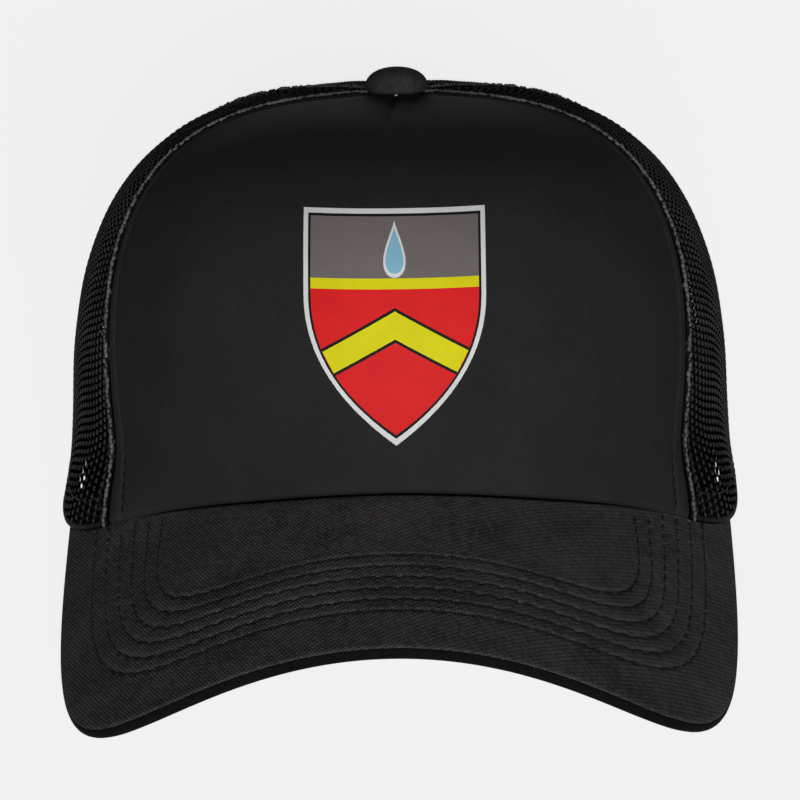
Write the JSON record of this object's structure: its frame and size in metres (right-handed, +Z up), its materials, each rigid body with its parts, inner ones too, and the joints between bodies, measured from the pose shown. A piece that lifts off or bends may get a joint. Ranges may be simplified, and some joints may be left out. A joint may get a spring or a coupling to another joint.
{
  "type": "trucker cap",
  "caption": "Five-panel trucker cap with a foam-lined front panel, mesh sides and back, a curved stitched visor and a plastic snap closure in the back opening.",
  "frame": {"origin": "centre of the head opening, level with the crown's hem at the sides", "axes": "+Z up from the surface that the cap rests on, -Y forward over the visor, +X the wearer's left"},
  "size_m": [0.1756, 0.2714, 0.1172],
  "materials": {
    "front_cloth": "plain woven charcoal cloth",
    "print_film": "matt heat-pressed film in red, yellow, white, grey and light blue",
    "foam": "black laminated foam",
    "mesh": "black knitted nylon net",
    "seam_tape": "black woven tape",
    "sweatband_cloth": "black cotton twill",
    "visor_cloth": "black cotton twill, stitched in six rows",
    "visor_board": "unpigmented moulded sheet",
    "snap_plastic": "black moulded polyethylene, satin",
    "button_cloth": "black cotton twill",
    "button_metal": "pressed sheet, plain"
  },
  "bodies": {
    "cap": {"front_panel": "front_cloth", "front_emblem": "print_film", "front_foam_lining": "foam", "left_side_mesh": "mesh", "right_side_mesh": "mesh", "left_back_mesh": "mesh", "right_back_mesh": "mesh", "left_front_seam_tape": "seam_tape", "right_front_seam_tape": "seam_tape", "left_back_seam_tape": "seam_tape", "right_back_seam_tape": "seam_tape", "centre_back_seam_tape": "seam_tape", "left_hem_tape": "seam_tape", "right_hem_tape": "seam_tape", "back_opening_binding": "seam_tape", "sweatband": "sweatband_cloth", "visor_board": "visor_board", "visor_top_cover": "visor_cloth", "visor_under_cover": "visor_cloth", "button_cover": "button_cloth", "button_shell": "button_metal", "button_rivet": "button_metal", "button_washer": "button_metal", "hole_strap_tab": "snap_plastic", "peg_strap_tab": "snap_plastic"},
    "hole_strap_body": {"hole_strap": "snap_plastic"},
    "peg_strap_body": {"peg_strap": "snap_plastic"}
  },
  "joints": [
    {"name": "hole_strap_bend", "type": "hinge", "parent": "cap", "child": "hole_strap_body", "pos_m": [0.0363, 0.09224, 0.00088], "axis": [0, -0.1206, -0.9927], "range_deg": [0, 75], "stiffness_Nm_per_rad": 0.02},
    {"name": "peg_strap_bend", "type": "hinge", "parent": "cap", "child": "peg_strap_body", "pos_m": [-0.03563, 0.09096, 0.00104], "axis": [0, -0.1206, -0.9927], "range_deg": [0, 30], "stiffness_Nm_per_rad": 0.02}
  ]
}
